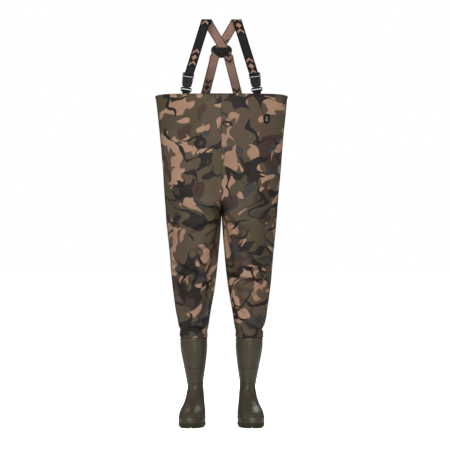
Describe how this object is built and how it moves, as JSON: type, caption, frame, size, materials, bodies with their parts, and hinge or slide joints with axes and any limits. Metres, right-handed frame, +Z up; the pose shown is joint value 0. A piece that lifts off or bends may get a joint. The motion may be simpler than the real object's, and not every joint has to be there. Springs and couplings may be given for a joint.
{
  "type": "chest waders",
  "caption": "Chest waders with moulded boots, crossed elastic shoulder straps and side-release buckles on the front hem.",
  "frame": {"origin": "on the floor, in the middle of the outline's width and depth", "axes": "+Z up, front faces -Y, the wearer's left is +X"},
  "size_m": [0.5846, 0.342, 1.788],
  "materials": {
    "camo_cloth": "matte coated weave in woodland camouflage",
    "seam_tape": "satin",
    "hem_binding": "matte",
    "webbing": "ribbed weave with a tan motif",
    "cross_patch": "satin",
    "buckle_plastic": "fine texture",
    "badge_plastic": "satin",
    "boot_rubber": "satin",
    "sole_rubber": "matte",
    "boot_lining": "matte knit"
  },
  "bodies": {
    "torso": {"left_front_panel": "camo_cloth", "right_front_panel": "camo_cloth", "left_back_panel": "camo_cloth", "right_back_panel": "camo_cloth", "left_hip_front_panel": "camo_cloth", "left_hip_back_panel": "camo_cloth", "right_hip_front_panel": "camo_cloth", "right_hip_back_panel": "camo_cloth", "hem_binding_front": "hem_binding", "hem_binding_back": "hem_binding", "centre_front_seam_tape": "seam_tape", "centre_back_seam_tape": "seam_tape", "left_side_seam_tape": "seam_tape", "right_side_seam_tape": "seam_tape", "chest_badge": "badge_plastic", "left_hem_loop": "webbing", "right_hem_loop": "webbing", "left_buckle_socket": "buckle_plastic", "right_buckle_socket": "buckle_plastic", "left_shoulder_strap": "webbing", "right_shoulder_strap": "webbing", "cross_patch_inner": "cross_patch", "cross_patch_outer": "cross_patch"},
    "left_thigh": {"left_thigh_front_panel": "camo_cloth", "left_thigh_back_panel": "camo_cloth", "left_knee_front_panel": "camo_cloth", "left_knee_back_panel": "camo_cloth"},
    "left_shin": {"left_shin_front_panel": "camo_cloth", "left_shin_back_panel": "camo_cloth", "left_boot_shell": "boot_rubber", "left_boot_outsole": "sole_rubber", "left_boot_insole": "boot_lining", "left_boot_lining": "boot_lining", "left_boot_weld_band": "seam_tape"},
    "left_plug": {"left_buckle_plug": "buckle_plastic", "left_strap_tail": "webbing"},
    "left_outer_arm": {"left_outer_latch_arm": "buckle_plastic"},
    "left_inner_arm": {"left_inner_latch_arm": "buckle_plastic"},
    "right_thigh": {"right_thigh_front_panel": "camo_cloth", "right_thigh_back_panel": "camo_cloth", "right_knee_front_panel": "camo_cloth", "right_knee_back_panel": "camo_cloth"},
    "right_shin": {"right_shin_front_panel": "camo_cloth", "right_shin_back_panel": "camo_cloth", "right_boot_shell": "boot_rubber", "right_boot_outsole": "sole_rubber", "right_boot_insole": "boot_lining", "right_boot_lining": "boot_lining", "right_boot_weld_band": "seam_tape"},
    "right_plug": {"right_buckle_plug": "buckle_plastic", "right_strap_tail": "webbing"},
    "right_outer_arm": {"right_outer_latch_arm": "buckle_plastic"},
    "right_inner_arm": {"right_inner_latch_arm": "buckle_plastic"}
  },
  "joints": [
    {"name": "left_hip", "type": "hinge", "parent": "torso", "child": "left_thigh", "pos_m": [0.122, 0.04353, 0.94], "axis": [-1, 0, 0], "range_deg": [-15, 60], "deforming": ["left_hip_front_panel", "left_hip_back_panel"]},
    {"name": "left_knee", "type": "hinge", "parent": "left_thigh", "child": "left_shin", "pos_m": [0.122, 0.04353, 0.6], "axis": [1, 0, 0], "range_deg": [0, 80], "deforming": ["left_knee_front_panel", "left_knee_back_panel"]},
    {"name": "left_buckle_release", "type": "slide", "parent": "torso", "child": "left_plug", "axis": [-0.1392, 0.2285, 0.9635], "range_m": [0, 0.038], "deforming": ["left_outer_latch_arm", "left_inner_latch_arm"]},
    {"name": "left_outer_squeeze", "type": "hinge", "parent": "left_plug", "child": "left_outer_arm", "pos_m": [0.16151, -0.03411, 1.52371], "axis": [0, 0.973, -0.2307], "range_deg": [0, 9], "stiffness_Nm_per_rad": 0.2},
    {"name": "left_inner_squeeze", "type": "hinge", "parent": "left_plug", "child": "left_inner_arm", "pos_m": [0.13379, -0.03501, 1.51992], "axis": [0, -0.973, 0.2307], "range_deg": [0, 9], "stiffness_Nm_per_rad": 0.2},
    {"name": "right_hip", "type": "hinge", "parent": "torso", "child": "right_thigh", "pos_m": [-0.122, 0.04353, 0.94], "axis": [-1, 0, 0], "range_deg": [-15, 60], "deforming": ["right_hip_front_panel", "right_hip_back_panel"]},
    {"name": "right_knee", "type": "hinge", "parent": "right_thigh", "child": "right_shin", "pos_m": [-0.122, 0.04353, 0.6], "axis": [1, 0, 0], "range_deg": [0, 80], "deforming": ["right_knee_front_panel", "right_knee_back_panel"]},
    {"name": "right_buckle_release", "type": "slide", "parent": "torso", "child": "right_plug", "axis": [0.1392, 0.2285, 0.9635], "range_m": [0, 0.038], "deforming": ["right_outer_latch_arm", "right_inner_latch_arm"]},
    {"name": "right_outer_squeeze", "type": "hinge", "parent": "right_plug", "child": "right_outer_arm", "pos_m": [-0.16151, -0.03411, 1.52371], "axis": [0, -0.973, 0.2307], "range_deg": [0, 9], "stiffness_Nm_per_rad": 0.2},
    {"name": "right_inner_squeeze", "type": "hinge", "parent": "right_plug", "child": "right_inner_arm", "pos_m": [-0.13379, -0.03501, 1.51992], "axis": [0, 0.973, -0.2307], "range_deg": [0, 9], "stiffness_Nm_per_rad": 0.2}
  ],
  "couplings": [
    {"joint": "left_inner_squeeze", "follows": "left_outer_squeeze", "ratio": 1},
    {"joint": "right_inner_squeeze", "follows": "right_outer_squeeze", "ratio": 1}
  ]
}
